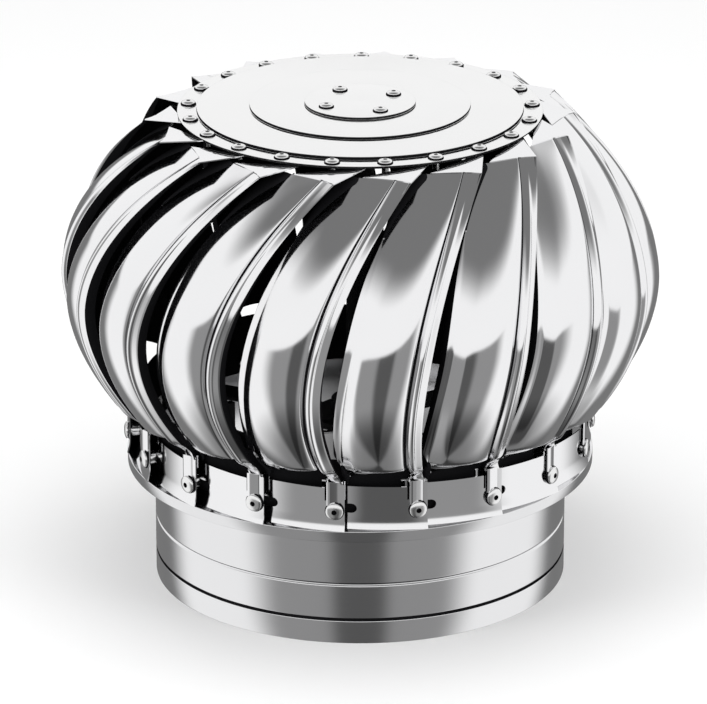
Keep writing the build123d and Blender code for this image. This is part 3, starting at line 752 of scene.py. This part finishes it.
@dataclass
class Screw:
    """Round-headed screw with a round recess, in millimetres."""

    head: float
    head_height: float
    shank: float
    length: float
    recess: float
    dome: float = 0.55
    # A thin ring under the head is painted shadow: it is near black and stands for the shadow round the
    # head.
    shadow_ring_overhang: float = 0.6
    shadow_ring_height: float = 0.5

    def build(self, name: str) -> bpy.types.Object:
        """Screw that points up, with the underside of its head at the origin."""
        radius = self.head / 2
        rise = [
            (radius * math.cos(turn), self.head_height * (1 - self.dome)
             + self.head_height * self.dome * math.sin(turn))
            for turn in np.linspace(0, math.pi / 2 * 0.72, 9)
        ]
        rim = radius + self.shadow_ring_overhang
        profile = [(0.01, -self.length), (self.shank / 2, -self.length), (self.shank / 2, 0), (rim, 0)]
        profile += [(rim, self.shadow_ring_height), (radius * 0.95, self.shadow_ring_height), *rise]
        profile += [(self.recess, self.head_height * 0.97), (self.recess * 0.8, self.head_height * 0.35)]
        profile += [(0.01, self.head_height * 0.25)]
        screw = lathe(name, profile, 36)
        # The ring under the head and the recess take the second material, near black: painted shadow round
        # the head and painted shade in the recess.
        for polygon in screw.data.polygons:
            reach = math.hypot(*polygon.center[:2]) / MM
            shadow_ring = reach > radius * 0.96 and polygon.center[2] / MM <= self.shadow_ring_height + 0.01
            recess_shade = reach < self.recess and polygon.center[2] / MM > 0
            polygon.material_index = int(shadow_ring or recess_shade)
        return screw


def place_screws(form: bpy.types.Object, places: list[tuple[tuple, tuple]], name: str) -> bpy.types.Object:
    """Copies a screw to its places and joins the copies.

    Args:
        form: The screw at the origin, pointing up.
        places: For each copy its location in millimetres and its rotation in radians.
        name: Name of the joined object.

    Returns:
        The joined screws.
    """
    copies = []
    for location, rotation in places:
        pick(form)
        bpy.ops.object.duplicate()
        copy = bpy.context.object
        copy.location = [value * MM for value in location]
        copy.rotation_euler = rotation
        bpy.ops.object.transform_apply(location=True, rotation=True, scale=True)
        copies.append(copy)
    bpy.data.objects.remove(form)
    return join(name, copies)


def ring_places(count: int, phase: float, radius: float, height: float) -> list[tuple[tuple, tuple]]:
    """Upright places round a circle."""
    places = []
    for number in range(count):
        angle = phase + number * 360 / count
        across, depth = polar(radius, angle)
        places.append(((across, depth, height), (0, 0, math.radians(angle))))
    return places


def outward_places(count: int, phase: float, radius: float, height: float) -> list[tuple[tuple, tuple]]:
    """Places round a circle that point away from the spindle."""
    places = []
    for number in range(count):
        angle = phase + number * 360 / count
        across, depth = polar(radius, angle)
        places.append(((across, depth, height), (math.pi / 2, 0, math.radians(angle))))
    return places


# ------------------------------------------------------------------ the ventilator


@dataclass
class Ventilator:
    """Dresses the frame and adds the polished sheet pieces."""

    nodes: dict
    blade: Blade = field(default_factory=Blade)

    def stand_in(self, piece: bpy.types.Object, body: Body, slot: str, *nodes: str) -> None:
        """Lets a piece ride on a body in the place of CAD nodes."""
        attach(piece, body.value)
        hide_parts(*nodes)

    def dress_frame(self) -> None:
        """Gives every carried-over node its finish."""
        finishes = {
            # The inner frame parts and the ring under the cap's rim take the near-black steel, painted
            # shade.
            PAINTED_SHADE_STEEL: ("upper_ring", "throat_bar", "spindle", "spider", "housing", "spacer_tube", "set_collar"),
            SCREW_STEEL: ("nut", "washers", "spacers", "rivets", "circlip", "screws"),
            BEARING: ("bearing_inner", "bearing_outer"),
            ROLLED: ("ring",),
        }
        built = {finish: finish.build() for finish in finishes}
        for name, node in self.nodes.items():
            for finish, words in reversed(finishes.items()):
                if any(word in name for word in words):
                    for slot in node.material_slots:
                        slot.material = built[finish]

    def add_blades(self) -> None:
        """Adds the blades, each turned one pitch further round."""
        form = self.blade.build()
        pitch = 360 / self.blade.count
        copies = turned_copies(form, [number * pitch for number in range(self.blade.count)])
        for number, copy in enumerate(copies, start=1):
            copy.name = f"polished_blade_{number:02d}"
            self.stand_in(copy, Body.ROTOR, "polished_blade", f"blade_{number:02d}")
        bpy.data.objects.remove(form)

    def add_turned_pieces(self) -> None:
        """Adds the collar, lower ring, cap and hub cover."""
        cap = Cap()
        cap_finish = CAP_POLISH.build()
        parts = (
            (Collar().build(), Body.BASE, "collar_sheet", "base_collar", SATIN.build()),
            (LowerRing().build(), Body.ROTOR, "ring_sheet", "lower_ring", ROLLED.build()),
            (cap.build(), Body.ROTOR, "polished_cap", "top_cap", cap_finish),
            (cap.cover(), Body.ROTOR, "polished_cap", "hub_cover", cap_finish),
        )
        shaded = SHADED.build()
        for piece, body, slot, node, material in parts:
            dressed(piece, material, shaded)
            self.stand_in(piece, body, slot, node)

    def add_screws(self) -> None:
        """Adds the three groups of screws."""
        finish, shaded = SCREW_STEEL.build(), SHADED.build()
        foot_seat = self.blade.foot_radius(self.blade.screw_angle + 2.1) + 0.05
        groups = (
            (Screw(12.5, 3.6, 6.0, 15.5, 1.9), "foot_screws",
             outward_places(18, self.blade.screw_angle, foot_seat, self.blade.screw_height)),
            (Screw(10.0, 2.8, 4.8, 8.0, 1.5), "cap_screws", ring_places(21, 8.1, 123.4, 351.05)),
            (Screw(9.8, 2.6, 5.0, 11.0, 1.5), "hub_screws", ring_places(4, -59.0, 28.0, 357.05)),
        )
        for screw, node, places in groups:
            form = screw.build("screw_form")
            dressed(form, finish, shaded)
            piece = place_screws(form, places, f"{node}_round")
            self.stand_in(piece, Body.ROTOR, "fastener_steel", node)


# ------------------------------------------------------------------ studio


def stepped_ramp(nodes, stops: tuple) -> bpy.types.Node:
    """Grey ramp through the given places and levels."""
    ramp = nodes.new("ShaderNodeValToRGB")
    ramp.color_ramp.interpolation = "EASE"
    elements = ramp.color_ramp.elements
    for index, (place, level) in enumerate(stops):
        stop = elements[index] if index < 2 else elements.new(place)
        stop.position = place
        stop.color = (level, level, level, 1)
    return ramp


def band_levels(nodes, links, direction: bpy.types.Node, bands: tuple) -> bpy.types.NodeSocket:
    """Grey levels that change with the angle round the spindle, counted from the front."""
    forwards = nodes.new("ShaderNodeMath")
    forwards.operation = "MULTIPLY"
    forwards.inputs[1].default_value = -1.0
    links.new(direction.outputs["Y"], forwards.inputs[0])
    turn = nodes.new("ShaderNodeMath")
    turn.operation = "ARCTAN2"
    links.new(direction.outputs["X"], turn.inputs[0])
    links.new(forwards.outputs["Value"], turn.inputs[1])
    share = nodes.new("ShaderNodeMapRange")
    share.inputs["From Min"].default_value = -math.pi
    share.inputs["From Max"].default_value = math.pi
    links.new(turn.outputs["Value"], share.inputs["Value"])
    ramp = stepped_ramp(nodes, tuple(((angle + 180) / 360, level) for angle, level in bands))
    links.new(share.outputs["Result"], ramp.inputs["Fac"])
    return ramp.outputs["Color"]


@dataclass(frozen=True)
class Studio:
    """Floor, light and camera."""

    focal_pixels: float = 5315.0
    distance: float = 3.868
    elevation: float = 20.81
    aim_height: float = 0.150
    aim_pixel_right: float = 6.6
    aim_pixel_down: float = 19.4
    floor_level: float = 0.95
    side_angle: float = 90.0
    side_reach: float = 20.0
    side_edge: float = 25.0
    side_level: float = 1.0
    fill_level: float = 0.3
    gap_reach: float = 10.0
    gap_edge: float = 10.0
    gap_level: float = 0.1
    back_level: float = 0.2
    wall_top: float = 35.0
    ceiling_edge: float = 25.0
    ceiling_level: float = 0.2
    floor_fade: float = -45.0
    pit_level: float = 0.2
    horizon_edge: float = 4.0
    panels: tuple = (
        ("panel_left", (-2.4, -1.4, 1.6), (1.2, 1.6), 16),
        ("panel_right", (2.2, -1.8, 1.7), (1.2, 1.6), 16),
        ("panel_top", (0.0, -0.2, 3.2), (3.0, 3.0), 60),
    )

    def sides(self) -> tuple:
        """Levels round the room: a white panel on either side and a dark gap in front."""
        near, far = self.side_angle - self.side_reach, self.side_angle + self.side_reach
        right = (
            (self.gap_reach, self.gap_level),
            (self.gap_reach + self.gap_edge, self.fill_level),
            (near - self.side_edge, self.fill_level),
            (near, self.side_level),
            (far, self.side_level),
            (far + self.side_edge, self.back_level),
            (180.0, self.back_level),
        )
        return tuple((-angle, level) for angle, level in reversed(right)) + right

    def heights(self) -> tuple:
        """Levels by elevation of the wall and ceiling, of the floor, and of the change between them."""
        ceiling = self.wall_top + self.ceiling_edge
        return (
            ((-90, 1.0), (self.wall_top, 1.0), (ceiling, self.ceiling_level), (90, self.ceiling_level)),
            ((-90, self.pit_level), (self.floor_fade, 1.0), (90, 1.0)),
            ((0, 0.0), (self.horizon_edge, 1.0)),
        )

    def add_camera(self) -> None:
        """Adds the camera in front of the ventilator, looking slightly down."""
        data = bpy.data.cameras.new("camera")
        data.lens = self.focal_pixels * SENSOR_WIDTH / PICTURE_WIDTH
        data.sensor_width = SENSOR_WIDTH
        data.shift_x = -self.aim_pixel_right / PICTURE_WIDTH
        data.shift_y = self.aim_pixel_down / PICTURE_WIDTH
        data.clip_end = 50
        camera = bpy.data.objects.new("camera", data)
        bpy.context.scene.collection.objects.link(camera)
        tilt = math.radians(self.elevation)
        camera.location = (
            0,
            -self.distance * math.cos(tilt),
            self.aim_height + self.distance * math.sin(tilt),
        )
        camera.rotation_euler = (math.pi / 2 - tilt, 0, 0)
        bpy.context.scene.camera = camera

    def add_floor(self) -> None:
        """Adds a plain pale floor."""
        start_fresh()
        bpy.ops.mesh.primitive_plane_add(size=30)
        floor = bpy.context.object
        floor.name = "floor"
        material = bpy.data.materials.new("pale_floor")
        material.use_nodes = True
        pale = material.node_tree.nodes["Principled BSDF"]
        pale.inputs["Base Color"].default_value = (self.floor_level, self.floor_level, self.floor_level, 1)
        pale.inputs["Roughness"].default_value = 1.0
        pale.inputs["Specular IOR Level"].default_value = 0.0
        floor.data.materials.append(material)
        floor.visible_glossy = False

    def add_world(self) -> None:
        """Sets a white room with a grey ceiling, and white side panels over a grey floor."""
        world = bpy.data.worlds.new("studio")
        bpy.context.scene.world = world
        world.use_nodes = True
        nodes, links = world.node_tree.nodes, world.node_tree.links
        place = nodes.new("ShaderNodeTexCoord")
        split = nodes.new("ShaderNodeSeparateXYZ")
        links.new(place.outputs["Generated"], split.inputs["Vector"])
        level = nodes.new("ShaderNodeMapRange")
        level.inputs["From Min"].default_value = -1.0
        links.new(split.outputs["Z"], level.inputs["Value"])
        room = []
        for stops in self.heights():
            levels = tuple((0.5 + math.sin(math.radians(up)) / 2, grey) for up, grey in stops)
            ramp = stepped_ramp(nodes, levels)
            links.new(level.outputs["Result"], ramp.inputs["Fac"])
            room.append(ramp.outputs["Color"])
        below = nodes.new("ShaderNodeMix")
        below.data_type, below.blend_type = "RGBA", "MULTIPLY"
        below.inputs["Factor"].default_value = 1.0
        links.new(band_levels(nodes, links, split, self.sides()), below.inputs["A"])
        links.new(room[1], below.inputs["B"])
        both = nodes.new("ShaderNodeMix")
        both.data_type = "RGBA"
        links.new(room[2], both.inputs["Factor"])
        links.new(below.outputs["Result"], both.inputs["A"])
        links.new(room[0], both.inputs["B"])
        links.new(both.outputs["Result"], nodes["Background"].inputs["Color"])

    def add_lamps(self) -> None:
        """Adds soft panels round the ventilator."""
        for name, place, size, power in self.panels:
            light = bpy.data.lights.new(name, "AREA")
            light.shape = "RECTANGLE"
            light.size, light.size_y = size
            light.energy = power
            lamp = bpy.data.objects.new(name, light)
            bpy.context.scene.collection.objects.link(lamp)
            lamp.location = place
            lamp.visible_glossy = False
            aim = np.array([0, 0, 0.2]) - np.array(place)
            lamp.rotation_euler = (
                math.pi / 2 + math.atan2(aim[2], math.hypot(aim[0], aim[1])),
                0,
                math.atan2(aim[1], aim[0]) - math.pi / 2,
            )

    def build(self) -> None:
        """Sets up the whole studio."""
        self.add_floor()
        self.add_world()
        self.add_lamps()
        self.add_camera()
        bpy.context.scene.view_settings.view_transform = "Standard"


def main() -> None:
    """Builds the looks round the frame."""
    logging.basicConfig(level=logging.INFO)
    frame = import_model()
    ventilator = Ventilator(frame["nodes"])
    ventilator.dress_frame()
    ventilator.add_blades()
    ventilator.add_turned_pieces()
    ventilator.add_screws()
    Studio().build()


if __name__ == "__main__":
    main()
